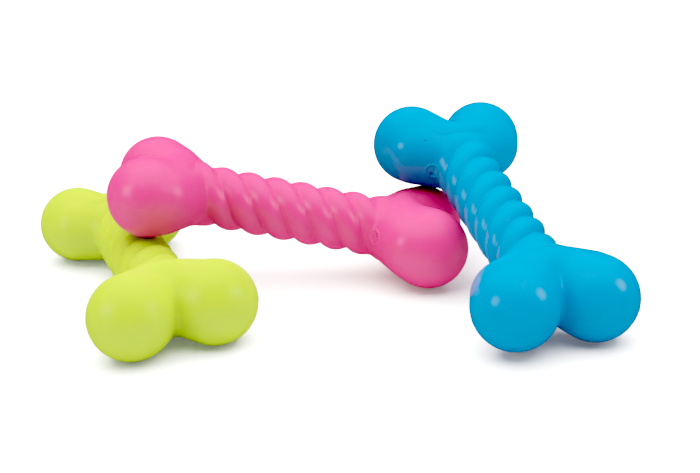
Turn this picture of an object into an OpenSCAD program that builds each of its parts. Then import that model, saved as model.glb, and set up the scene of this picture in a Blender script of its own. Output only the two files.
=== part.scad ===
// Three rubber chew bones, each one solid moulding with a rope-twist shaft, stacked as a set.
// Lengths are in millimetres. +X runs to the right of the set, +Y to its back and +Z up.
// The origin is the middle of the set's footprint, on the surface that the set rests on.
// A bone's own frame has its long axis on X, its lobes side by side on Y and its middle at zero.

/* [Bone] */
// Overall length of a bone, over the lobes at both ends
bone_l = 146; // [120:1:180]
// Overall width of a bone, over a pair of lobes
bone_w = 63.8; // [58:0.2:74]
// Diameter of an end lobe, which is also the bone's thickness
lobe_d = 32.4; // [28:0.2:36]
// Diameter of the heel, the ball that draws a lobe out towards the shaft
heel_d = 28.6; // [24:0.2:30]
// Distance from the lobe's centre back to the heel's centre, along the bone
heel_back = 5; // [3:0.1:8]
// Rounding of the crease between the two lobes of one end
crease_blend = 3; // [1:0.5:8]

/* [Neck] */
// Diameter of the plain neck between the rope and the lobes
neck_d = 25.4; // [20:0.2:28]
// Distance from the lobe's centre back to where the two arms part, along the bone
neck_back = 15.5; // [9:0.1:18]
// Rounding between the shaft and the arms
neck_blend = 3; // [2:0.5:8]

/* [Rope] */
// Diameter of the rope over its strands
rope_d = 25.3; // [22:0.2:28]
// Depth of the grooves between the strands
groove_depth = 2; // [0.8:0.1:2.6]
// Number of strands that twist round each other
strands = 3; // [2:1:4]
// Length of one full turn of the rope, right-handed
rope_lead = 32.9; // [24:0.1:48]
// Distance from the lobe's centre back to the end of the grooves, along the bone
groove_back = 16; // [12:0.1:24]
// Length over which the grooves run out into the neck
groove_fade = 6; // [4:0.5:12]

/* [Stack] */
// Turn of the lime bone on the surface, from the +X axis
lime_yaw = -69.6; // [-80:0.1:-60]
// Heading of the pink bone, from the +X axis
pink_yaw = -0.3; // [-6:0.1:8]
// Heading of the blue bone, from the +X axis
blue_yaw = -74.5; // [-84:0.1:-66]
// How far along the lime bone the pink lobe lies, from the middle towards the front
pink_along = 5.8; // [-8:0.1:12]
// How far the pink lobe lies to the right of the lime bone's axis
pink_aside = 4.7; // [0:0.1:8]
// How far the blue lobe lies to the left of the pink lobe that carries it
blue_left = 3.3; // [0:0.1:8]
// How far the blue lobe lies behind the pink lobe that carries it
blue_behind = 9.1; // [6:0.1:14]
// Roll of the pink bone about its own axis, with its front lobes a little higher than those behind
pink_roll = -1.1; // [-3:0.1:3]
// Roll of the blue bone about its own axis, with its left lobes a little higher than those on the right
blue_roll = -3.3; // [-4:0.1:4]
// Clearance between two bones where one lies on the other
seat_gap = 0.3; // [0.2:0.05:0.6]
// Depth of the small flats that the lime bone's lobes press on the surface
rest_flat = 0.4; // [0.3:0.05:0.8]

/* [Hidden] */

// Turn of each bone's rope pattern about its own axis
lime_rope_turn = 99;
pink_rope_turn = 26;
blue_rope_turn = -6;

// Places on a bone, worked out from the sizes above
lobe_r = lobe_d / 2;
lobe_x = bone_l / 2 - lobe_r;
lobe_y = bone_w / 2 - lobe_r;
heel_x = lobe_x - heel_back;
neck_x = lobe_x - neck_back;
neck_r = neck_d / 2;
heel_r = heel_d / 2;
lobe = [lobe_x, lobe_y, 0];
heel = [heel_x, lobe_y, 0];
neck = [neck_x, 0, 0];
fade_end = lobe_x - groove_back;
fade_start = fade_end - groove_fade;

// How finely the skin is divided: columns round a bone, rings along the shaft and rings over an end
columns = 10 * strands;
shaft_rings = 48;
end_rings = 16;
// Angle by which columns over the ends lean away from the creases and towards the lobes
lobe_focus = 17;
// Roundness of the groove's bottom, as a share of half a strand's width
groove_round_share = 0.08;
// How closely the skin's points lie on the true surface, as a share of the lobe's radius
skin_fit_share = 0.0002;

// A row of balls whose centres run from a to b while their radii grow from ra to rb:
// the distance of point p from its skin
function ball_row(p, a, b, ra, rb) =
    let (span = norm(b - a), dir = (b - a) / span, slope = (rb - ra) / span,
         along = (p - a) * dir, aside = norm(p - a - along * dir),
         foot = max(0, min(span, along + slope * aside / sqrt(1 - slope * slope))))
    norm([aside, along - foot]) - ra - slope * foot;

// The nearer of two skins, rounded where they meet
function blend(a, b, rounding) =
    let (h = max(rounding - abs(a - b), 0) / rounding)
    min(a, b) - h * h * h * rounding / 6;

function smooth_share(t) = let (s = max(0, min(1, t))) s * s * (3 - 2 * s);

// Radius of the shaft at station x and angle a: each strand is an arch between two sharp grooves,
// which run out into a plain neck
function shaft_radius(x, a, rope_turn) =
    let (u = strands * (a - 360 * x / rope_lead + rope_turn) / 2,
         across = abs(asin(sin(u))) / 90, soft = groove_round_share,
         off_groove = (sqrt(across * across + soft * soft) - soft) / (sqrt(1 + soft * soft) - soft),
         rope = rope_d / 2 - groove_depth * (1 - off_groove) * (1 - off_groove),
         fade = 1 - smooth_share((abs(x) - fade_start) / groove_fade))
    neck_r + fade * (rope - neck_r);

// One arm: the neck swells into the lobe, and the heel fills the corner towards the shaft
function arm(p) = min(ball_row(p, neck, lobe, neck_r, lobe_r), ball_row(p, neck, heel, neck_r, heel_r),
    ball_row(p, heel, lobe, heel_r, lobe_r));

// Distance of point p from the skin of a bone, below zero inside it
function skin(p, rope_turn) =
    let (x = abs(p.x),
         arms = blend(arm([x, p.y, p.z]), arm([x, -p.y, p.z]), crease_blend),
         shaft = norm([max(0, x - neck_x), p.y, p.z]) - shaft_radius(p.x, atan2(p.z, p.y), rope_turn))
    blend(arms, shaft, neck_blend);

// Walks inwards along a ray until it meets the skin, and gives the distance from the ray's start
function reach(start, dir, t, rope_turn, steps = 60) =
    let (gap = skin(start + t * dir, rope_turn))
    abs(gap) < skin_fit_share * lobe_r || steps == 0 ? t : reach(start, dir, t - gap, rope_turn, steps - 1);

// A ring of the skin: where its rays start on the axis, and their angle from the +X axis
rings = concat(
    [for (i = [1 : end_rings]) [-neck_x, 180 - 90 * i / (end_rings + 1)]],
    [for (i = [0 : shaft_rings]) [neck_x * (2 * i / shaft_rings - 1), 90]],
    [for (i = [end_rings : -1 : 1]) [neck_x, 90 * i / (end_rings + 1)]]);

// The columns follow the strands along the rope. Over the ends one of them lies in the crease
// at the top and one in the crease below, and the others crowd towards the lobes.
function column_angle(ring, j, rope_turn) =
    let (step = 360 / columns, along_rope = max(-fade_end, min(fade_end, ring[0])),
         a = 360 * (j / columns + along_rope / rope_lead) - rope_turn,
         in_crease = 90 + step * round((a - 90) / step))
    ring[1] == 90 ? a : in_crease - lobe_focus * abs(cos(ring[1])) * sin(2 * in_crease);

// A ray starts its walk at the shaft's own skin, or outside the lobes
function ray_start(ring, a, rope_turn) =
    ring[1] == 90 && abs(ring[0]) < fade_end ? shaft_radius(ring[0], a, rope_turn) : neck_back + bone_w / 2;

function ring_point(ring, a, rope_turn) =
    let (dir = [cos(ring[1]), sin(ring[1]) * cos(a), sin(ring[1]) * sin(a)], start = [ring[0], 0, 0])
    start + reach(start, dir, ray_start(ring, a, rope_turn), rope_turn) * dir;

function end_point(side, rope_turn) =
    let (start = [side * neck_x, 0, 0], dir = [side, 0, 0])
    start + reach(start, dir, neck_back + bone_w / 2, rope_turn) * dir;

function skin_points(rope_turn) = concat(
    [for (ring = rings) for (j = [0 : columns - 1])
        ring_point(ring, column_angle(ring, j, rope_turn), rope_turn)],
    [end_point(-1, rope_turn), end_point(1, rope_turn)]);

function at(i, j) = i * columns + j % columns;

last_ring = len(rings) - 1;
left_tip = len(rings) * columns;
right_tip = left_tip + 1;
skin_faces = concat(
    [for (j = [0 : columns - 1]) [left_tip, at(0, j), at(0, j + 1)]],
    [for (i = [0 : last_ring - 1]) for (j = [0 : columns - 1]) [at(i, j), at(i + 1, j), at(i, j + 1)]],
    [for (i = [1 : last_ring]) for (j = [0 : columns - 1]) [at(i, j), at(i, j + 1), at(i - 1, j + 1)]],
    [for (j = [0 : columns - 1]) [at(last_ring, j), right_tip, at(last_ring, j + 1)]]);

// A pose is a place, a heading, a lean that lowers the bone's +X end and a roll about its axis
function turn_matrix(yaw, lean, roll) =
    [[cos(yaw) * cos(lean), cos(yaw) * sin(lean) * sin(roll) - sin(yaw) * cos(roll),
      cos(yaw) * sin(lean) * cos(roll) + sin(yaw) * sin(roll)],
     [sin(yaw) * cos(lean), sin(yaw) * sin(lean) * sin(roll) + cos(yaw) * cos(roll),
      sin(yaw) * sin(lean) * cos(roll) - cos(yaw) * sin(roll)],
     [-sin(lean), cos(lean) * sin(roll), cos(lean) * cos(roll)]];
function turned(pose) = turn_matrix(pose[1], pose[2], pose[3]);
function to_world(pose, p) = pose[0] + turned(pose) * p;
function to_bone(pose, p) = (p - pose[0]) * turned(pose);

// A pose that stands the lower of a bone's +X lobes on the surface, while the centre of its front
// lobe on the raised end lies over the place given
function leaning_pose(yaw, lean, roll, over) =
    let (raised = turn_matrix(yaw, lean, roll) * [-lobe_x, -lobe_y, 0],
         rise = lobe_x * sin(lean) + lobe_y * cos(lean) * abs(sin(roll)))
    [[over.x - raised.x, over.y - raised.y, lobe_r + rise], yaw, lean, roll];

// Points all over the raised half of a bone, which feel where it meets the bone below
function feelers(rope_turn) =
    [for (ring = rings) if (ring[0] < 0) for (j = [0 : columns - 1])
        ring_point(ring, column_angle(ring, j, rope_turn), rope_turn)];

// The least gap between a bone's feelers and the skin of the bone below
function least_gap(points, pose, below, below_turn) =
    min([for (p = points) skin(to_bone(below, to_world(pose, p)), below_turn)]);

// The lean at which a bone just clears the one below, found by halving
steepest_lean = 45;
lean_halvings = 14;
function seated_lean(points, yaw, roll, over, below, below_turn,
                     low = 0, high = steepest_lean, n = lean_halvings) =
    let (lean = (low + high) / 2,
         gap = least_gap(points, leaning_pose(yaw, lean, roll, over), below, below_turn))
    n == 0 ? high
    : gap < seat_gap ? seated_lean(points, yaw, roll, over, below, below_turn, lean, high, n - 1)
    : seated_lean(points, yaw, roll, over, below, below_turn, low, lean, n - 1);

// The stack, laid out with the lime bone's middle over the origin
lime_laid = [[0, 0, lobe_r - rest_flat], lime_yaw, 0, 0];
pink_over = to_world(lime_laid, [pink_along, pink_aside, 0]);
pink_lean = seated_lean(feelers(pink_rope_turn), pink_yaw, pink_roll, pink_over, lime_laid, lime_rope_turn);
pink_laid = leaning_pose(pink_yaw, pink_lean, pink_roll, pink_over);
blue_over = to_world(pink_laid, lobe) + [-blue_left, blue_behind, 0];
blue_lean = seated_lean(feelers(blue_rope_turn), blue_yaw, blue_roll, blue_over, pink_laid, pink_rope_turn);
blue_laid = leaning_pose(blue_yaw, blue_lean, blue_roll, blue_over);

// The whole stack is moved so that the origin is the middle of its footprint
lobes_laid = [for (pose = [lime_laid, pink_laid, blue_laid]) for (sx = [-1, 1]) for (sy = [-1, 1])
    to_world(pose, [sx * lobe_x, sy * lobe_y, 0])];
middle = [for (k = [0, 1]) (min([for (p = lobes_laid) p[k]]) + max([for (p = lobes_laid) p[k]])) / 2];
function centred(pose) = [pose[0] - [middle.x, middle.y, 0], pose[1], pose[2], pose[3]];
lime_pose = centred(lime_laid);
pink_pose = centred(pink_laid);
blue_pose = centred(blue_laid);

// One solid moulding: lobes, necks and rope in one skin
module bone(rope_turn) {
    polyhedron(points = skin_points(rope_turn), faces = skin_faces);
}

module posed(pose) {
    translate(pose[0]) rotate([pose[3], pose[2], pose[1]]) children();
}

// The bone at the bottom lies flat on its four lobes, which the surface flattens a little
module lime_bone() {
    color("#CFE05A") difference() {
        posed(lime_pose) bone(lime_rope_turn);
        translate([lime_pose[0].x, lime_pose[0].y, -lobe_r])
            cube([2 * bone_l, 2 * bone_l, lobe_d], center = true);
    }
}

// The middle bone lies with one lobe on the lime bone's shaft and stands on the lobe behind at its
// other end
module pink_bone() {
    color("#EF60A0") posed(pink_pose) bone(pink_rope_turn);
}

// The last bone leans with one heel on the pink bone's lobe and stands on the right lobe at its front
module blue_bone() {
    color("#00A3DA") posed(blue_pose) bone(blue_rope_turn);
}

lime_bone();
pink_bone();
blue_bone();
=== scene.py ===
from math import atan2, cos, degrees, hypot, pi, radians, sin

import bpy
from mathutils import Matrix, Vector


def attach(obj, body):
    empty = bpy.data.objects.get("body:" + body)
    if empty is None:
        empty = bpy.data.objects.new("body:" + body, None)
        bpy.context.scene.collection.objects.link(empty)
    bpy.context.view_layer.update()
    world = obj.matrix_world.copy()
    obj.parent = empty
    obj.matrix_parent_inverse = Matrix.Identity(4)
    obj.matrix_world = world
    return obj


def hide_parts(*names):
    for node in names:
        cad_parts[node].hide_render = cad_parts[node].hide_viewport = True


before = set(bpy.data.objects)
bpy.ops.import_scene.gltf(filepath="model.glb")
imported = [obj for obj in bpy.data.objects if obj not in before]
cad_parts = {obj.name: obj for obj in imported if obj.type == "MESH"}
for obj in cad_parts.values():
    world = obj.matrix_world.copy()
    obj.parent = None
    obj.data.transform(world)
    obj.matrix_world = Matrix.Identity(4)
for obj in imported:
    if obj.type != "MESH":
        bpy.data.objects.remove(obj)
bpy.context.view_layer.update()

bl_info = {
    "name": "Rope-Twist Chew Bones",
    "version": (1, 0, 0),
    "blender": (4, 5, 0),
    "location": "3D View > Sidebar > Chew Bones",
    "description": "Builds three moulded rubber chew bones, stacked on each other on a pale stage",
    "category": "Add Mesh",
}

MM = 0.001

# Widths of what the noise patterns show, in millimetres. Their last digits move a pattern along a bone
TRIMMED = 11.1111  # stretches of flash that are left or trimmed away
FRAYED = 0.76923   # nicks in the edge of the hole where the gate's stalk was torn off
MOTTLED = 16.6667  # faint clouds in the colour and the gloss, from the mixing of the pigment
WAVY = 6.25        # the skin's slow unevenness, from the rubber's shrinking as it cools
GRAINY = 0.714286  # marks of the mould's polishing, drawn some ten times as coarse as real so that they show

FLASH_GONE, FLASH_LEFT = 0.42, 0.62  # noise values at which the flash is wholly trimmed away or wholly left
FRAY_SIZE = 2 * MM        # how far the nicks reach, from the innermost to the outermost
MARK_REACH = 6 * MM       # no mark is wider than this to any side
DARKER, LIGHTER = 0.96, 1.04  # brightness of the colour's clouds
WAVE_HEIGHT = 0.1 * MM    # of the skin's unevenness
GRAIN_HEIGHT = 0.03 * MM  # of the polishing's marks, of which only a share shows
GRAIN_SHARE = 0.08


# Settings that a user would change

def length(name, description, millimetres):
    """A length in the settings, given in millimetres."""
    return bpy.props.FloatProperty(
        name=name, description=description, default=millimetres * MM, unit="LENGTH", precision=5)


def colour(name, description, code):
    """A colour in the settings, given as an sRGB hex code."""
    return bpy.props.FloatVectorProperty(
        name=name, description=description, default=linear(code), subtype="COLOR", size=3, min=0, max=1)


def linear(code):
    """An sRGB hex colour as linear red, green and blue."""
    shares = [int(code[i:i + 2], 16) / 255 for i in (1, 3, 5)]
    return tuple(s / 12.92 if s <= 0.04045 else ((s + 0.055) / 1.055) ** 2.4 for s in shares)


class BoneSizes(bpy.types.PropertyGroup):
    """The sizes of one bone, which all three bones share."""
    bone_l: length("Bone length", "Over the lobes at both ends", 146)
    bone_w: length("Bone width", "Over a pair of lobes", 63.8)
    lobe_d: length("Lobe diameter", "Of an end lobe, which is also the bone's thickness", 32.4)
    heel_d: length("Heel diameter", "Of the ball that draws a lobe out towards the shaft", 28.6)
    heel_back: length("Heel setback", "From the lobe's centre back to the heel's, along the bone", 5)
    crease_blend: length("Crease rounding", "Of the crease between the two lobes of one end", 3)
    saddle_blend: length("Saddle rounding", "Of the same crease where it starts, just past the neck", 12)
    neck_d: length("Neck diameter", "Of the plain neck between the rope and the lobes", 25.4)
    neck_back: length("Neck setback", "From the lobe's centre back to where the arms part", 15.5)
    neck_blend: length("Neck rounding", "Between the shaft and the arms", 3)
    rope_d: length("Rope diameter", "Over the strands", 25.3)
    groove_depth: length("Groove depth", "Between two strands", 2)
    rope_lead: length("Rope lead", "Length of one full turn of the rope", 32.9)
    groove_back: length("Groove setback", "From the lobe's centre back to the end of the grooves", 16)
    groove_fade: length("Groove run-out", "Length over which the grooves fade into the neck", 6)
    strands: bpy.props.IntProperty(
        name="Strands", description="Number of strands that twist round each other", default=3, min=2, max=4)
    groove_round: bpy.props.FloatProperty(
        name="Groove roundness", description="Share of half a strand's width that rounds a groove's bottom",
        default=0.08, subtype="FACTOR")


class MouldMarks(bpy.types.PropertyGroup):
    """What the mould leaves on the rubber."""
    flash_height: length("Flash height", "Of the thin ridge where the mould's halves meet", 0.12)
    flash_width: length("Flash width", "Of that ridge, to each side of its crest", 0.3)
    flash_d: length("Flash length", "Of the stretch where that ridge wasn't trimmed at all", 7)
    gate_d: length("Gate diameter", "Of the ring that the filling nozzle leaves", 5.6)
    gate_rim: length("Gate rim", "Height of that ring", 0.4)
    gate_wall: length("Gate wall", "Width of that ring, to each side of its crest", 0.45)
    tear_d: length("Tear diameter", "Of the hole in the gate, where the stalk of rubber was torn off", 1.8)
    tear_depth: length("Tear depth", "Of that hole", 0.9)
    pit_d: length("Pit diameter", "Of a pinhole that a bubble of air leaves", 0.9)
    pit_depth: length("Pit depth", "Of such a pinhole", 0.6)
    dent_d: length("Dent diameter", "Of a shallow hollow that trapped air leaves", 3.2)
    dent_depth: length("Dent depth", "Of such a hollow", 0.2)


class Finish(bpy.types.PropertyGroup):
    """Colours of the rubber and the light of the stage."""
    lime: colour("Lime", "Colour of the bone at the bottom", "#92AA30")
    pink: colour("Pink", "Colour of the bone in the middle", "#C23660")
    blue: colour("Blue", "Colour of the bone at the top", "#006394")
    floor: colour("Floor", "Colour of the surface that the bones rest on", "#F6F6F5")
    key: bpy.props.FloatProperty(
        name="Side softboxes", description="Power of each softbox at the sides", default=1.0, unit="POWER")
    overhead: bpy.props.FloatProperty(
        name="Overhead softbox", description="Power of the large softbox overhead", default=70, unit="POWER")
    sky: bpy.props.FloatProperty(
        name="Surround", default=1.3,
        description="Brightness of the white surround, and of the floor far out")
    # Painted light: this is light that the floor gives off itself, which lightens the bones' shadows on it;
    # no lamp lies under the floor
    glow: bpy.props.FloatProperty(
        name="Floor glow", default=0.055,
        description="Brightness that the floor round the bones has of its own, as paper on a lit table")
    black: bpy.props.FloatProperty(
        name="Black level", description="Brightness that the picture shows as black", default=0.017)
    white: bpy.props.FloatProperty(
        name="White level", description="Brightness that the picture shows as white", default=1.12)
    shoulder: bpy.props.FloatProperty(
        name="Shoulder", default=4,
        description="How much the picture lifts dark tones, as its curve's steepness at black")


# One row for each bone: its place (mm), its roll, lean and heading and its rope's turn (degrees), the share
# of the grooves' depth that shows on it, and where its mould's marks are, in its own frame (mm)
BONES = {
    "lime": dict(
        place=(-69.16, 5.25872, 15.8), turn=(0, 0, -69.6), rope_turn=99, grooves=0.65,
        gate=(-35.8, 14.3, 0), tear=(-35.8, 14.3, 1.2), pit=(20, -9, -8.4), dent=(-48.2, -27.1, 7.4),
        flash=(60, 31.9, 0)),
    "pink": dict(
        place=(-7.52522, 16.869, 29.8897), turn=(-1.1, 13.6423, -0.3), rope_turn=26, grooves=1,
        gate=(35.8, -14.3, 0), tear=(36.2, -15.1, 1.0), pit=(35.1, -13.5, 0.7), dent=(-62, 10, -14),
        flash=(-50, -30.2, 0)),
    "blue": dict(
        place=(74.0284, -6.8704, 32.5101), turn=(-3.3, 15.7736, -74.5), rope_turn=-6, grooves=1,
        gate=(-34.5, -14.1, 0.2), tear=(-34.9, -14.5, -1.5), pit=(-41.6, -16.4, 10.7), dent=(60, 12, -15),
        flash=(71.6, -21, 0)),
}
MARKS = ("gate", "tear", "pit", "dent", "flash")


# Nodes

def add(tree, kind, inputs=(), **settings):
    """Adds a node with its settings, and links its inputs or sets them, in order or by name."""
    node = tree.nodes.new(kind)
    for name, value in settings.items():
        setattr(node, name, value)
    for key, value in inputs.items() if isinstance(inputs, dict) else enumerate(inputs):
        if isinstance(value, bpy.types.NodeSocket):
            tree.links.new(value, node.inputs[key])
        elif value is not None:
            node.inputs[key].default_value = value
    # The editor shows the nodes in columns of six
    column, row = divmod(len(tree.nodes), 6)
    node.location = (180 * column, -170 * row)
    return node


def fineness(millimetres):
    """A noise's scale from how wide what it shows is."""
    return 1 / (millimetres * MM)


KINDS = {"sum": "ShaderNodeMath", "vector": "ShaderNodeVectorMath"}


def work_out(tree, known, rows):
    """Adds one node for each row, which gives a result's name, kind and operation, and its inputs."""
    for name, kind, operation, *inputs in rows:
        values = [known[i] if isinstance(i, str) else i for i in inputs]
        node = add(tree, KINDS[kind], values, operation=operation)
        scalar = kind == "sum" or operation in ("LENGTH", "DOT_PRODUCT")
        known[name] = node.outputs["Value" if scalar else "Vector"]
    return known


def new_group(name, inputs, outputs):
    """A geometry node group with its named sockets, and the sockets of its input and output nodes."""
    tree = bpy.data.node_groups.new(name, "GeometryNodeTree")
    for in_out, sockets in (("INPUT", inputs), ("OUTPUT", outputs)):
        for label, kind in sockets.items():
            tree.interface.new_socket(name=label, in_out=in_out, socket_type="NodeSocket" + kind)
    source = tree.nodes.new("NodeGroupInput").outputs
    result = tree.nodes.new("NodeGroupOutput").inputs
    return tree, {label: source[label] for label in inputs}, result


def ball_row_group():
    """Distance of a point from a row of balls that grow evenly from one end to the other."""
    inputs = {"Point": "Vector", "From": "Vector", "To": "Vector", "First radius": "Float",
              "Last radius": "Float"}
    tree, known, result = new_group("Row of balls", inputs, {"Distance": "Float"})
    work_out(tree, known, [
        ("axis", "vector", "SUBTRACT", "To", "From"),
        ("span", "vector", "LENGTH", "axis"),
        ("dir", "vector", "NORMALIZE", "axis"),
        ("growth", "sum", "SUBTRACT", "Last radius", "First radius"),
        ("slope", "sum", "DIVIDE", "growth", "span"),
        ("offset", "vector", "SUBTRACT", "Point", "From"),
        ("along", "vector", "DOT_PRODUCT", "offset", "dir"),
        ("back", "sum", "MULTIPLY", "along", -1),
    ])
    foot_of = add(tree, "ShaderNodeVectorMath", {0: known["dir"], "Scale": known["back"]}, operation="SCALE")
    known["to foot"] = foot_of.outputs["Vector"]
    work_out(tree, known, [
        ("aside vector", "vector", "ADD", "offset", "to foot"),
        ("aside", "vector", "LENGTH", "aside vector"),
        ("slope squared", "sum", "MULTIPLY", "slope", "slope"),
        ("rest", "sum", "SUBTRACT", 1, "slope squared"),
        ("root", "sum", "SQRT", "rest"),
        ("lead", "sum", "DIVIDE", "slope", "root"),
        ("free foot", "sum", "MULTIPLY_ADD", "lead", "aside", "along"),
        ("foot above", "sum", "MAXIMUM", "free foot", 0),
        ("foot", "sum", "MINIMUM", "foot above", "span"),
        ("past", "sum", "SUBTRACT", "along", "foot"),
        ("past squared", "sum", "MULTIPLY", "past", "past"),
        ("squares", "sum", "MULTIPLY_ADD", "aside", "aside", "past squared"),
        ("away", "sum", "SQRT", "squares"),
        ("radius", "sum", "MULTIPLY_ADD", "slope", "foot", "First radius"),
        ("distance", "sum", "SUBTRACT", "away", "radius"),
    ])
    tree.links.new(known["distance"], result["Distance"])
    return tree


def bone_skin_group(ball_row):
    """Distance of a point from a bone's skin, below zero inside it."""
    names = {key: BoneSizes.bl_rna.properties[key].name for key in BoneSizes.__annotations__}
    inputs = {"Point": "Vector", "Rope turn": "Float", **{n: "Float" for n in names.values()}}
    tree, known, result = new_group("Bone skin", inputs, {"Distance": "Float"})
    for key, name in names.items():
        known[key] = known[name]
    split = add(tree, "ShaderNodeSeparateXYZ", [known["Point"]])
    known.update(x=split.outputs[0], y=split.outputs[1], z=split.outputs[2])
    work_out(tree, known, [
        ("ax", "sum", "ABSOLUTE", "x"),
        ("-y", "sum", "MULTIPLY", "y", -1),
        ("lobe_r", "sum", "DIVIDE", "lobe_d", 2),
        ("heel_r", "sum", "DIVIDE", "heel_d", 2),
        ("neck_r", "sum", "DIVIDE", "neck_d", 2),
        ("rope_r", "sum", "DIVIDE", "rope_d", 2),
        ("half length", "sum", "DIVIDE", "bone_l", 2),
        ("half width", "sum", "DIVIDE", "bone_w", 2),
        ("lobe_x", "sum", "SUBTRACT", "half length", "lobe_r"),
        ("lobe_y", "sum", "SUBTRACT", "half width", "lobe_r"),
        ("heel_x", "sum", "SUBTRACT", "lobe_x", "heel_back"),
        ("neck_x", "sum", "SUBTRACT", "lobe_x", "neck_back"),
        ("fade_end", "sum", "SUBTRACT", "lobe_x", "groove_back"),
        ("fade_start", "sum", "SUBTRACT", "fade_end", "groove_fade"),
    ])
    for place, parts in {"lobe": ("lobe_x", "lobe_y"), "heel": ("heel_x", "lobe_y"), "neck": ("neck_x", None),
                         "right": ("ax", "y", "z"), "left": ("ax", "-y", "z")}.items():
        sockets = [known[p] if p else None for p in parts]
        known[place] = add(tree, "ShaderNodeCombineXYZ", sockets).outputs[0]
    for side in ("right", "left"):
        for start, end in (("neck", "lobe"), ("neck", "heel"), ("heel", "lobe")):
            row = [known[n] for n in (side, start, end, start + "_r", end + "_r")]
            balls = add(tree, "GeometryNodeGroup", row, node_tree=ball_row)
            known[f"{side} {start}-{end}"] = balls.outputs[0]
    work_out(tree, known, [
        # An arm: the neck swells into the lobe, and the heel fills the corner towards the shaft
        ("right heel", "sum", "MINIMUM", "right neck-heel", "right heel-lobe"),
        ("right arm", "sum", "MINIMUM", "right neck-lobe", "right heel"),
        ("left heel", "sum", "MINIMUM", "left neck-heel", "left heel-lobe"),
        ("left arm", "sum", "MINIMUM", "left neck-lobe", "left heel"),
        # The crease is sharp at the neck and over the lobes, and a round saddle between them. The saddle's
        # hump is highest, 4/27, at a third of the way from the neck to the lobes' centres
        ("past neck", "sum", "SUBTRACT", "ax", "neck_x"),
        ("along crease", "sum", "DIVIDE", "past neck", "neck_back"),
        ("along above", "sum", "MAXIMUM", "along crease", 0),
        ("share", "sum", "MINIMUM", "along above", 1),
        ("share left", "sum", "SUBTRACT", 1, "share"),
        ("left squared", "sum", "MULTIPLY", "share left", "share left"),
        ("hump", "sum", "MULTIPLY", "left squared", "share"),
        ("saddle share", "sum", "MULTIPLY", "hump", 27 / 4),
        ("more round", "sum", "SUBTRACT", "saddle_blend", "crease_blend"),
        ("rounding", "sum", "MULTIPLY_ADD", "more round", "saddle share", "crease_blend"),
        ("arms", "sum", "SMOOTH_MIN", "right arm", "left arm", "rounding"),
        # The strands wind along the shaft, each an arch between two sharp grooves
        ("a", "sum", "ARCTAN2", "z", "y"),
        ("turns", "sum", "DIVIDE", "x", "rope_lead"),
        ("wound", "sum", "MULTIPLY_ADD", "turns", -2 * pi, "a"),
        ("phase", "sum", "ADD", "wound", "Rope turn"),
        ("half strands", "sum", "DIVIDE", "strands", 2),
        ("u", "sum", "MULTIPLY", "phase", "half strands"),
        ("sine", "sum", "SINE", "u"),
        ("arc", "sum", "ARCSINE", "sine"),
        ("arc size", "sum", "ABSOLUTE", "arc"),
        ("across", "sum", "DIVIDE", "arc size", pi / 2),
        ("soft squared", "sum", "MULTIPLY", "groove_round", "groove_round"),
        ("across squared", "sum", "MULTIPLY_ADD", "across", "across", "soft squared"),
        ("across root", "sum", "SQRT", "across squared"),
        ("off above", "sum", "SUBTRACT", "across root", "groove_round"),
        ("top squared", "sum", "ADD", "soft squared", 1),
        ("top", "sum", "SQRT", "top squared"),
        ("off range", "sum", "SUBTRACT", "top", "groove_round"),
        ("off groove", "sum", "DIVIDE", "off above", "off range"),
        ("into groove", "sum", "SUBTRACT", 1, "off groove"),
        ("drop share", "sum", "MULTIPLY", "into groove", "into groove"),
        ("drop", "sum", "MULTIPLY", "drop share", "groove_depth"),
        ("rope", "sum", "SUBTRACT", "rope_r", "drop"),
        ("rope over neck", "sum", "SUBTRACT", "rope", "neck_r"),
    ])
    fade = add(tree, "ShaderNodeMapRange", {"Value": known["ax"], "From Min": known["fade_start"],
                                            "From Max": known["fade_end"], "To Min": 1.0, "To Max": 0.0},
               interpolation_type="SMOOTHSTEP")
    known["fade"] = fade.outputs[0]
    work_out(tree, known, [
        ("shaft radius", "sum", "MULTIPLY_ADD", "rope over neck", "fade", "neck_r"),
        ("past", "sum", "MAXIMUM", "past neck", 0),
    ])
    known["from axis"] = add(tree, "ShaderNodeCombineXYZ", [known["past"], known["y"], known["z"]]).outputs[0]
    work_out(tree, known, [
        ("from centre", "vector", "LENGTH", "from axis"),
        ("shaft", "sum", "SUBTRACT", "from centre", "shaft radius"),
        ("skin", "sum", "SMOOTH_MIN", "arms", "shaft", "neck_blend"),
    ])
    tree.links.new(known["skin"], result["Distance"])
    return tree


def mark_group():
    """Distance of a point on the skin from a mark, measured along the skin and not away from it."""
    inputs = {"Point": "Vector", "Normal": "Vector", "Mark": "Vector"}
    tree, known, result = new_group("Distance from a mark", inputs, {"Distance": "Float"})
    work_out(tree, known, [
        ("offset", "vector", "SUBTRACT", "Point", "Mark"),
        ("across", "vector", "CROSS_PRODUCT", "offset", "Normal"),
        ("aside", "vector", "LENGTH", "across"),
        # What lies further off than any mark reaches counts as a metre away
        ("straight", "vector", "LENGTH", "offset"),
        ("far", "sum", "GREATER_THAN", "straight", MARK_REACH),
        ("distance", "sum", "ADD", "aside", "far"),
    ])
    tree.links.new(known["distance"], result["Distance"])
    return tree


STEPS = 64  # how often a point walks on towards the skin; after these it is closer than a micrometre


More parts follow.
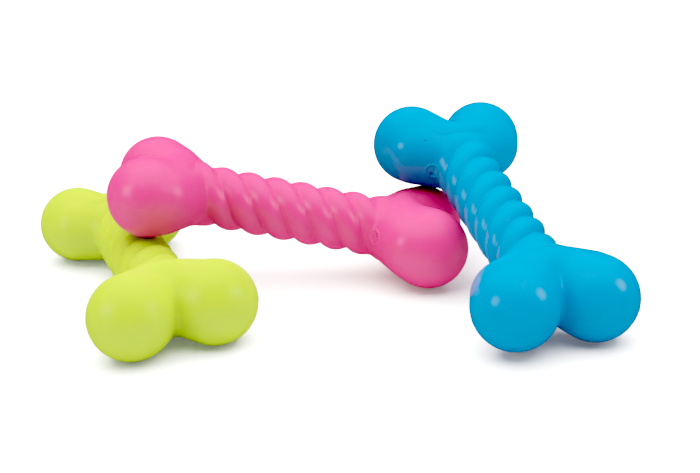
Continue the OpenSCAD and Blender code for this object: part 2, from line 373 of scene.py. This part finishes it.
def bone_tree(skin, from_mark):
    """The whole bone: points walk in to the skin on rays to its axis, and get the mould's marks."""
    names = [BoneSizes.bl_rna.properties[k].name for k in BoneSizes.__annotations__]
    marks = [MouldMarks.bl_rna.properties[k].name for k in MouldMarks.__annotations__]
    inputs = {"Geometry": "Geometry", "Rubber": "Material", "Place": "Vector", "Turn": "Rotation",
              "Rope turn": "Float", **{m: "Vector" for m in MARKS}, **{n: "Float" for n in names + marks}}
    tree, known, result = new_group("Rope-twist bone", inputs, {"Geometry": "Geometry"})
    for group in (BoneSizes, MouldMarks):
        for key in group.__annotations__:
            known[key] = known[group.bl_rna.properties[key].name]
    for name in ("station", "angle"):
        known[name] = add(tree, "GeometryNodeInputNamedAttribute", {"Name": name}).outputs[0]
    work_out(tree, known, [
        ("lobe_r", "sum", "DIVIDE", "lobe_d", 2),
        ("half length", "sum", "DIVIDE", "bone_l", 2),
        ("half width", "sum", "DIVIDE", "bone_w", 2),
        ("lobe_x", "sum", "SUBTRACT", "half length", "lobe_r"),
        ("neck_x", "sum", "SUBTRACT", "lobe_x", "neck_back"),
        ("outside", "sum", "ADD", "half width", "neck_back"),
        # A ray leaves the axis at right angles along the shaft, and fans out over the ends
        ("station above", "sum", "MAXIMUM", "station", -1),
        ("on shaft", "sum", "MINIMUM", "station above", 1),
        ("start x", "sum", "MULTIPLY", "on shaft", "neck_x"),
        ("over end", "sum", "SUBTRACT", "station", "on shaft"),
        ("fan", "sum", "MULTIPLY", "over end", pi / 2),
        ("ray x", "sum", "SINE", "fan"),
        ("ray r", "sum", "COSINE", "fan"),
        # The rays turn with the strands, for one lead of the rope to each side of its middle
        ("leads", "sum", "DIVIDE", "start x", "rope_lead"),
        ("leads above", "sum", "MAXIMUM", "leads", -1),
        ("turns", "sum", "MINIMUM", "leads above", 1),
        ("a", "sum", "MULTIPLY_ADD", "turns", 2 * pi, "angle"),
        ("cos a", "sum", "COSINE", "a"),
        ("sin a", "sum", "SINE", "a"),
        ("ray y", "sum", "MULTIPLY", "ray r", "cos a"),
        ("ray z", "sum", "MULTIPLY", "ray r", "sin a"),
    ])
    known["start"] = add(tree, "ShaderNodeCombineXYZ", [known["start x"]]).outputs[0]
    ray_parts = [known[n] for n in ("ray x", "ray y", "ray z")]
    known["ray"] = add(tree, "ShaderNodeCombineXYZ", ray_parts).outputs[0]
    out = add(tree, "ShaderNodeVectorMath", {0: known["ray"], "Scale": known["outside"]},
              operation="SCALE")
    known["out"] = out.outputs[0]
    work_out(tree, known, [("far point", "vector", "ADD", "start", "out")])
    far = add(tree, "GeometryNodeSetPosition",
              {"Geometry": known["Geometry"], "Position": known["far point"]})
    kept = add(tree, "GeometryNodeStoreNamedAttribute",
               {"Geometry": far.outputs[0], "Name": "ray", "Value": known["ray"]},
               data_type="FLOAT_VECTOR", domain="POINT")

    walk_in = add(tree, "GeometryNodeRepeatInput")
    walk_out = add(tree, "GeometryNodeRepeatOutput")
    walk_in.pair_with_output(walk_out)
    walk_in.inputs["Iterations"].default_value = STEPS
    tree.links.new(kept.outputs[0], walk_in.inputs["Geometry"])
    here = add(tree, "GeometryNodeInputPosition")
    gap = add(tree, "GeometryNodeGroup", node_tree=skin)
    tree.links.new(here.outputs[0], gap.inputs["Point"])
    for name in ["Rope turn"] + names:
        tree.links.new(known[name], gap.inputs[name])
    ray = add(tree, "GeometryNodeInputNamedAttribute", {"Name": "ray"}, data_type="FLOAT_VECTOR")
    inward = add(tree, "ShaderNodeMath", [gap.outputs[0], -1.0], operation="MULTIPLY")
    step = add(tree, "ShaderNodeVectorMath", {0: ray.outputs[0], "Scale": inward.outputs[0]},
               operation="SCALE")
    walked = add(tree, "GeometryNodeSetPosition", {"Geometry": walk_in.outputs["Geometry"],
                                                   "Offset": step.outputs[0]})
    tree.links.new(walked.outputs[0], walk_out.inputs["Geometry"])

    # The mould's marks, as heights above the skin
    known["point"] = add(tree, "GeometryNodeInputPosition").outputs[0]
    known["normal"] = add(tree, "GeometryNodeInputNormal").outputs[0]
    spots = add(tree, "ShaderNodeSeparateXYZ", [known["point"]])
    known.update(x=spots.outputs[0], z=spots.outputs[2])
    trimmed = add(tree, "ShaderNodeTexNoise",
                  {"Vector": known["point"], "Scale": fineness(TRIMMED), "Detail": 2.0})
    patches = add(tree, "ShaderNodeMapRange",
                  {"Value": trimmed.outputs[0], "From Min": FLASH_GONE, "From Max": FLASH_LEFT})
    frayed = add(tree, "ShaderNodeTexNoise",
                 {"Vector": known["point"], "Scale": fineness(FRAYED), "Detail": 1.0})
    known.update(patches=patches.outputs[0], frayed=frayed.outputs[0])
    for mark in MARKS:
        sockets = [known["point"], known["normal"], known[mark]]
        known["from " + mark] = add(tree, "GeometryNodeGroup", sockets, node_tree=from_mark).outputs[0]
    work_out(tree, known, [
        # Flash: a thin ridge round the ends where the halves of the mould meet, trimmed away in places
        ("off seam", "sum", "ABSOLUTE", "z"),
        ("seam share", "sum", "DIVIDE", "off seam", "flash_width"),
        ("ridge", "sum", "SUBTRACT", 1, "seam share"),
        ("ridge above", "sum", "MAXIMUM", "ridge", 0),
        ("ridge shape", "sum", "MULTIPLY", "ridge above", "ridge above"),
        ("ax", "sum", "ABSOLUTE", "x"),
        ("on end", "sum", "GREATER_THAN", "ax", "neck_x"),
        ("end ridge", "sum", "MULTIPLY", "ridge shape", "on end"),
        ("flash", "sum", "MULTIPLY", "end ridge", "flash_height"),
        ("flash_r", "sum", "DIVIDE", "flash_d", 2),
        ("untrimmed", "sum", "LESS_THAN", "from flash", "flash_r"),
        ("left on", "sum", "MAXIMUM", "patches", "untrimmed"),
        ("flash left", "sum", "MULTIPLY", "flash", "left on"),
        # Gate: a raised ring with a torn hole in it
        ("gate_r", "sum", "DIVIDE", "gate_d", 2),
        ("off ring", "sum", "SUBTRACT", "from gate", "gate_r"),
        ("ring away", "sum", "ABSOLUTE", "off ring"),
        ("ring share", "sum", "DIVIDE", "ring away", "gate_wall"),
        ("ring left", "sum", "SUBTRACT", 1, "ring share"),
        ("ring above", "sum", "MAXIMUM", "ring left", 0),
        ("ring", "sum", "MULTIPLY", "ring above", "gate_rim"),
        ("marks", "sum", "ADD", "flash left", "ring"),
        # The hole's edge is frayed
        ("fray", "sum", "SUBTRACT", "frayed", 0.5),
        ("from tear", "sum", "MULTIPLY_ADD", "fray", FRAY_SIZE, "from tear"),
    ])
    for mark in ("tear", "pit", "dent"):
        work_out(tree, known, [
            ("hollow_r", "sum", "DIVIDE", mark + "_d", 2),
            ("share", "sum", "DIVIDE", "from " + mark, "hollow_r"),
            ("square", "sum", "MULTIPLY", "share", "share"),
            ("left", "sum", "SUBTRACT", 1, "square"),
            ("left above", "sum", "MAXIMUM", "left", 0),
            ("hollow", "sum", "MULTIPLY", "left above", mark + "_depth"),
            ("marks", "sum", "SUBTRACT", "marks", "hollow"),
        ])
    rise = add(tree, "ShaderNodeVectorMath", {0: known["normal"], "Scale": known["marks"]},
               operation="SCALE")
    marked = add(tree, "GeometryNodeSetPosition", {"Geometry": walk_out.outputs["Geometry"],
                                                   "Offset": rise.outputs[0]})
    posed = add(tree, "GeometryNodeTransform", {"Geometry": marked.outputs[0], "Translation": known["Place"],
                                                "Rotation": known["Turn"]})
    # What lies below the surface is pressed flat on it
    stood = add(tree, "GeometryNodeInputPosition")
    parts = add(tree, "ShaderNodeSeparateXYZ", [stood.outputs[0]])
    above = add(tree, "ShaderNodeMath", [parts.outputs[2], 0.0], operation="MAXIMUM")
    pressed = add(tree, "ShaderNodeCombineXYZ", [parts.outputs[0], parts.outputs[1], above.outputs[0]])
    flat = add(tree, "GeometryNodeSetPosition",
               {"Geometry": posed.outputs[0], "Position": pressed.outputs[0]})
    smooth = add(tree, "GeometryNodeSetShadeSmooth", {"Geometry": flat.outputs[0]})
    real = add(tree, "GeometryNodeRealizeInstances", [smooth.outputs[0]])
    coated = add(tree, "GeometryNodeSetMaterial",
                 {"Geometry": real.outputs[0], "Material": known["Rubber"]})
    tree.links.new(coated.outputs[0], result["Geometry"])
    return tree


# Bones

# For each rubber: its roughness from and to, and its specular level. A range stays on one side of 0.274,
# because the renderer's noise filter draws hard edges where one crosses it
GLOSS = {"lime": (0.32, 0.42, 0.6), "pink": (0.285, 0.36, 0.7), "blue": (0.235, 0.268, 0.5)}
# The share of the light that comes back from under the skin, most in the pale lime rubber, and its depth
SOFT = {"lime": 0.6, "pink": 0.2, "blue": 0.1}
SOFT_DEPTH = 2 * MM

# Spacing of a bone's points: along the rope and the neck (mm), over an end (rows) and round it (degrees)
ROPE_STEP = 0.6
NECK_STEP = 0.25
END_ROWS = 60
ROUND_STEP = 3
# Closer columns, as how far they reach to each side and their step (degrees)
CREASE_WINDOWS = [(2.1, 0.7)]
SEAM_WINDOWS = [(0.75, 0.15), (2.1, 0.7)]
GROOVE_WINDOWS = [(2.4, 0.6)]
# Closer rows and columns round a mark, in the same way (mm)
MARK_WINDOWS = {"gate": (3.4, 0.2), "tear": (1.4, 0.1), "pit": (0.6, 0.1)}
# What lies closer than this to its neighbour is left out: rows (mm) and columns (degrees)
LEAST_ROW, LEAST_COLUMN = 0.07, 0.1


def spread(first, last, step):
    """Places from first to last, evenly, about a step apart."""
    count = max(1, round((last - first) / step))
    return [first + (last - first) * i / count for i in range(count + 1)]


def thinned(places, least):
    """The places in order, without those that lie closer than the least step to the one before."""
    kept = []
    for place in sorted(places):
        if not kept or place - kept[-1] >= least:
            kept.append(place)
    return kept


def windows(centre, reaches):
    """Places in windows round a centre: each window is given as its reach to each side and its step."""
    return [place for reach, step in reaches for place in spread(centre - reach, centre + reach, step)]


def ray_sheet(name, row, sizes):
    """A closed sheet of points that hold where each ray leaves the axis, closer at seams and marks."""
    lobe_x = (sizes.bone_l - sizes.lobe_d) / 2 / MM
    neck_x = lobe_x - sizes.neck_back / MM
    twisted = sizes.rope_lead / MM
    stations = [x / neck_x for x in spread(-twisted, twisted, ROPE_STEP)]
    stations += [s * x / neck_x for s in (-1, 1) for x in spread(twisted, neck_x, NECK_STEP)]
    stations += [s * (1 + i / END_ROWS) for s in (-1, 1) for i in range(1, END_ROWS)]
    # Columns lie in the creases and on the seam, at 90 and 0 degrees, and along the grooves
    angles = spread(0, 360 - ROUND_STEP, ROUND_STEP)
    for crease in (90, 270):
        angles += windows(crease, CREASE_WINDOWS)
    for seam in (0, 180):
        angles += windows(seam, SEAM_WINDOWS)
    for groove in range(sizes.strands):
        angles += windows(360 * groove / sizes.strands - row["rope_turn"], GROOVE_WINDOWS)
    for mark, (reach, step) in MARK_WINDOWS.items():
        x, y, z = row[mark]
        past, out = abs(x) - neck_x, hypot(y, z)
        middle = x / neck_x if past < 0 else (1 + atan2(past, out) * 2 / pi) * x / abs(x)
        along = neck_x if past < 0 else hypot(past, out) * pi / 2
        stations += windows(middle, [(reach / along, step / along)])
        angles += windows(degrees(atan2(z, y)), [(degrees(reach / out), degrees(step / out))])
    stations = thinned(stations, LEAST_ROW / neck_x)
    angles = thinned([a % 360 for a in angles], LEAST_COLUMN)
    rows, columns = len(stations), len(angles)
    points = [(s, radians(a)) for s in stations for a in angles] + [(-2, 0), (2, 0)]
    faces = []
    for i in range(rows - 1):
        for j in range(columns):
            k = (j + 1) % columns
            faces.append((i * columns + j, i * columns + k, (i + 1) * columns + k, (i + 1) * columns + j))
    last = (rows - 1) * columns
    for j in range(columns):
        k = (j + 1) % columns
        faces.append((rows * columns, k, j))
        faces.append((last + j, last + k, rows * columns + 1))
    mesh = bpy.data.meshes.new(name)
    mesh.from_pydata([(s, a, 0) for s, a in points], [], faces)
    for label, values in zip(("station", "angle"), zip(*points)):
        mesh.attributes.new(label, "FLOAT", "POINT").data.foreach_set("value", values)
    return mesh


def make_bone(name, tree, settings):
    """Makes one bone from the tree, as a plain mesh in its place, and lets it stand for its CAD node."""
    row = BONES[name]
    sheet = bpy.data.objects.new(name + "_rays", ray_sheet(name + "_rays", row, settings.sizes))
    bpy.context.scene.collection.objects.link(sheet)
    rubber = rubber_material(name, getattr(settings.finish, name))
    values = {"Rubber": rubber, "Place": [v * MM for v in row["place"]],
              "Turn": [radians(v) for v in row["turn"]], "Rope turn": radians(row["rope_turn"])}
    values.update({mark: [v * MM for v in row[mark]] for mark in MARKS})
    for group in (settings.sizes, settings.marks):
        for key in type(group).__annotations__:
            values[group.bl_rna.properties[key].name] = float(getattr(group, key))
    values["Groove depth"] *= row["grooves"]
    modifier = sheet.modifiers.new("Bone", "NODES")
    modifier.node_group = tree
    for item in tree.interface.items_tree:
        if item.item_type == "SOCKET" and item.in_out == "INPUT" and item.name in values:
            modifier[item.identifier] = values[item.name]
    evaluated = sheet.evaluated_get(bpy.context.evaluated_depsgraph_get())
    mesh = bpy.data.meshes.new_from_object(evaluated)
    mesh.name = name + "_chew_bone"
    for label in ("station", "angle", "ray"):
        mesh.attributes.remove(mesh.attributes[label])
    bpy.data.objects.remove(sheet)
    piece = bpy.data.objects.new(name + "_chew_bone", mesh)
    bpy.context.scene.collection.objects.link(piece)
    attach(piece, name)
    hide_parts(name + "_bone")
    return piece


def rubber_material(name, base):
    """Natural rubber, coloured through and pressed in a polished mould."""
    # To the eye that gives one strong colour with hardly a pattern in it, a soft bright spot wherever a
    # softbox is mirrored, a skin that is very slightly uneven under the spots, and a glow in shaded places
    # from the light that travels under the skin
    gloss_from, gloss_to, level = GLOSS[name]
    material = bpy.data.materials.new(f"Satin moulded rubber, {name}")
    material.use_nodes = True
    tree = material.node_tree
    tree.nodes.clear()
    place = add(tree, "ShaderNodeTexCoord").outputs["Object"]
    mottle = add(tree, "ShaderNodeTexNoise", {"Vector": place, "Scale": fineness(MOTTLED), "Detail": 3.0})
    tone = add(tree, "ShaderNodeMapRange", {"Value": mottle.outputs[0], "To Min": DARKER, "To Max": LIGHTER})
    tint = add(tree, "ShaderNodeHueSaturation", {"Value": tone.outputs[0], "Color": (*base, 1)})
    gloss = add(tree, "ShaderNodeMapRange",
                {"Value": mottle.outputs[0], "To Min": gloss_from, "To Max": gloss_to})
    waves = add(tree, "ShaderNodeTexNoise", {"Vector": place, "Scale": fineness(WAVY), "Detail": 1.0})
    uneven = add(tree, "ShaderNodeBump",
                 {"Height": waves.outputs[0], "Strength": 1.0, "Distance": WAVE_HEIGHT})
    grain = add(tree, "ShaderNodeTexNoise", {"Vector": place, "Scale": fineness(GRAINY), "Detail": 2.0})
    bump = add(tree, "ShaderNodeBump", {"Height": grain.outputs[0], "Strength": GRAIN_SHARE,
                                        "Distance": GRAIN_HEIGHT, "Normal": uneven.outputs[0]})
    # Rubber's own IOR is about 1.5: 1.36 matches how weakly the skin mirrors at a glancing view
    shader = add(tree, "ShaderNodeBsdfPrincipled", {
        "Base Color": tint.outputs[0], "Roughness": gloss.outputs[0], "Normal": bump.outputs[0], "IOR": 1.36,
        "Subsurface Weight": SOFT[name], "Subsurface Radius": (1.0, 1.0, 1.0),
        "Subsurface Scale": SOFT_DEPTH, "Specular IOR Level": level})
    add(tree, "ShaderNodeOutputMaterial", [shader.outputs[0]])
    return material


# Stage

FLOOR_SIZE = 2.4
GLOW_FROM, GLOW_TO = 0.5, 1.1  # how far from its middle the floor starts and ends to look ever brighter
LIT_PLACE = (0, 0, 0.02)       # what the lights are aimed at
# One row for each light: its azimuth and elevation (degrees), distance, size and the setting of its power
SOFTBOXES = {
    "left softbox": (-60, 28, 0.9, 0.3, "key"),
    "right softbox": (74, 28, 0.9, 0.3, "key"),
    "overhead softbox": (180, 80, 1.2, 2.4, "overhead"),
}
# The camera stands where the photograph was taken from: aim and distance (mm), and angles (degrees)
CAMERA = dict(aim=(16.447, 63.366, 0.366), distance=557.712, azimuth=-0.014, elevation=20.101, roll=-2.566)
FOCAL_PIXELS, PICTURE_PIXELS = 1224.2, 700  # its focal length and the photograph's width, in pixels
# Tones between black and white at which the picture's curve is given
TONES = (0.03, 0.06, 0.1, 0.15, 0.22, 0.3, 0.4, 0.52, 0.66, 0.82)


def towards(azimuth, elevation):
    """The direction towards an azimuth and elevation in degrees, where azimuth 0 is in front."""
    a, e = radians(azimuth), radians(elevation)
    return Vector((sin(a) * cos(e), -cos(a) * cos(e), sin(e)))


def aimed(obj, place, aim, roll=0):
    """Puts a light or the camera at a place, and turns it to what it looks at."""
    look = (Vector(aim) - Vector(place)).to_track_quat("-Z", "Y").to_matrix().to_4x4()
    obj.matrix_world = Matrix.Translation(place) @ look @ Matrix.Rotation(roll, 4, "Z")


def make_floor(finish):
    """The floor of white paper, which gives off painted light of its own: faint round the bones and ever
    brighter far out, so that it has no edge.
    """
    bpy.ops.mesh.primitive_plane_add(size=FLOOR_SIZE)
    floor = bpy.context.object
    floor.name = "floor"
    # The rubber in the photograph mirrors the side softboxes only
    floor.visible_glossy = False
    # Matt paper gives the eye soft shadows and no highlight
    paint = bpy.data.materials.new("Matt white paper")
    paint.use_nodes = True
    tree = paint.node_tree
    place = add(tree, "ShaderNodeTexCoord").outputs["Object"]
    # Painted light: the paper's own emission, faint round the bones where it lightens their shadows, rising
    # far out to the surround's brightness
    away = add(tree, "ShaderNodeVectorMath", [place], operation="LENGTH")
    bright = add(tree, "ShaderNodeMapRange", {
        "Value": away.outputs["Value"], "From Min": GLOW_FROM, "From Max": GLOW_TO,
        "To Min": finish.glow, "To Max": finish.sky})
    shader = tree.nodes["Principled BSDF"]
    shader.inputs["Base Color"].default_value = (*finish.floor, 1)
    shader.inputs["Roughness"].default_value = 0.9
    shader.inputs["Emission Color"].default_value = (1, 1, 1, 1)
    tree.links.new(bright.outputs[0], shader.inputs["Emission Strength"])
    floor.data.materials.append(paint)


def make_surround(finish):
    """The white surround, which the camera sees but which lights nothing."""
    world = bpy.data.worlds.new("White surround")
    world.use_nodes = True
    background = world.node_tree.nodes["Background"]
    background.inputs["Color"].default_value = (1, 1, 1, 1)
    background.inputs["Strength"].default_value = finish.sky
    world.cycles_visibility.diffuse = False
    world.cycles_visibility.glossy = False
    bpy.context.scene.world = world


def make_lights(finish):
    """A small softbox to each side, which the rubber mirrors, and a large one overhead, which it doesn't."""
    for name, (azimuth, elevation, distance, size, power) in SOFTBOXES.items():
        light = bpy.data.lights.new(name, "AREA")
        light.size, light.energy = size, getattr(finish, power)
        lamp = bpy.data.objects.new(name, light)
        bpy.context.scene.collection.objects.link(lamp)
        lamp.visible_glossy = power == "key"
        aimed(lamp, distance * towards(azimuth, elevation), LIT_PLACE)


def make_camera():
    """The camera, which sees the bones as the photograph shows them."""
    camera = bpy.data.cameras.new("camera")
    camera.lens = FOCAL_PIXELS / PICTURE_PIXELS * camera.sensor_width
    lens = bpy.data.objects.new("camera", camera)
    bpy.context.scene.collection.objects.link(lens)
    aim = Vector(CAMERA["aim"]) * MM
    place = aim + CAMERA["distance"] * MM * towards(CAMERA["azimuth"], CAMERA["elevation"])
    aimed(lens, place, aim, radians(CAMERA["roll"]))
    bpy.context.scene.camera = lens


def set_tones(finish):
    """The picture shows bright tones closer together than dark ones, as a camera's own pictures do."""
    view = bpy.context.scene.view_settings
    view.view_transform = "Standard"
    view.use_curve_mapping = True
    mapping = view.curve_mapping
    mapping.black_level = [finish.black] * 3
    mapping.white_level = [finish.white] * 3
    for tone in TONES:
        lifted = finish.shoulder * tone
        mapping.curves[3].points.new(tone, lifted * (1 + tone / finish.shoulder) / (1 + lifted))
    mapping.update()


# Operators and panel

class ChewBones(bpy.types.PropertyGroup):
    """All settings of the bones."""
    sizes: bpy.props.PointerProperty(type=BoneSizes)
    marks: bpy.props.PointerProperty(type=MouldMarks)
    finish: bpy.props.PointerProperty(type=Finish)


def shared_tree():
    """The bones' node tree, made once."""
    tree = bpy.data.node_groups.get("Rope-twist bone")
    return tree or bone_tree(bone_skin_group(ball_row_group()), mark_group())


class CHEWBONES_OT_lime(bpy.types.Operator):
    """Adds the lime bone, which lies flat at the bottom"""
    bl_idname = "chewbones.lime"
    bl_label = "Lime Bone"

    def execute(self, context):
        make_bone("lime", shared_tree(), context.scene.chew_bones)
        return {"FINISHED"}


class CHEWBONES_OT_pink(bpy.types.Operator):
    """Adds the pink bone, which lies with one lobe on the lime bone"""
    bl_idname = "chewbones.pink"
    bl_label = "Pink Bone"

    def execute(self, context):
        make_bone("pink", shared_tree(), context.scene.chew_bones)
        return {"FINISHED"}


class CHEWBONES_OT_blue(bpy.types.Operator):
    """Adds the blue bone, which leans on the pink bone"""
    bl_idname = "chewbones.blue"
    bl_label = "Blue Bone"

    def execute(self, context):
        make_bone("blue", shared_tree(), context.scene.chew_bones)
        return {"FINISHED"}


class CHEWBONES_OT_stage(bpy.types.Operator):
    """Adds the pale floor, the softboxes and the camera"""
    bl_idname = "chewbones.stage"
    bl_label = "Stage"

    def execute(self, context):
        finish = context.scene.chew_bones.finish
        make_floor(finish)
        make_surround(finish)
        make_lights(finish)
        make_camera()
        set_tones(finish)
        return {"FINISHED"}


OPERATORS = (CHEWBONES_OT_stage, CHEWBONES_OT_lime, CHEWBONES_OT_pink, CHEWBONES_OT_blue)


class CHEWBONES_PT_panel(bpy.types.Panel):
    """Lists the settings and the pieces"""
    bl_idname = "CHEWBONES_PT_panel"
    bl_label = "Chew Bones"
    bl_space_type = "VIEW_3D"
    bl_region_type = "UI"
    bl_category = "Chew Bones"

    def draw(self, context):
        settings = context.scene.chew_bones
        for group in (settings.sizes, settings.marks, settings.finish):
            box = self.layout.box()
            for key in type(group).__annotations__:
                box.prop(group, key)
        for operator in OPERATORS:
            self.layout.operator(operator.bl_idname)


CLASSES = (BoneSizes, MouldMarks, Finish, ChewBones, *OPERATORS, CHEWBONES_PT_panel)


def register():
    for cls in CLASSES:
        bpy.utils.register_class(cls)
    bpy.types.Scene.chew_bones = bpy.props.PointerProperty(type=ChewBones)


def unregister():
    del bpy.types.Scene.chew_bones
    for cls in reversed(CLASSES):
        bpy.utils.unregister_class(cls)


def main():
    """Builds everything."""
    register()
    bpy.ops.chewbones.stage()
    bpy.ops.chewbones.lime()
    bpy.ops.chewbones.pink()
    bpy.ops.chewbones.blue()


if __name__ == "__main__":
    main()
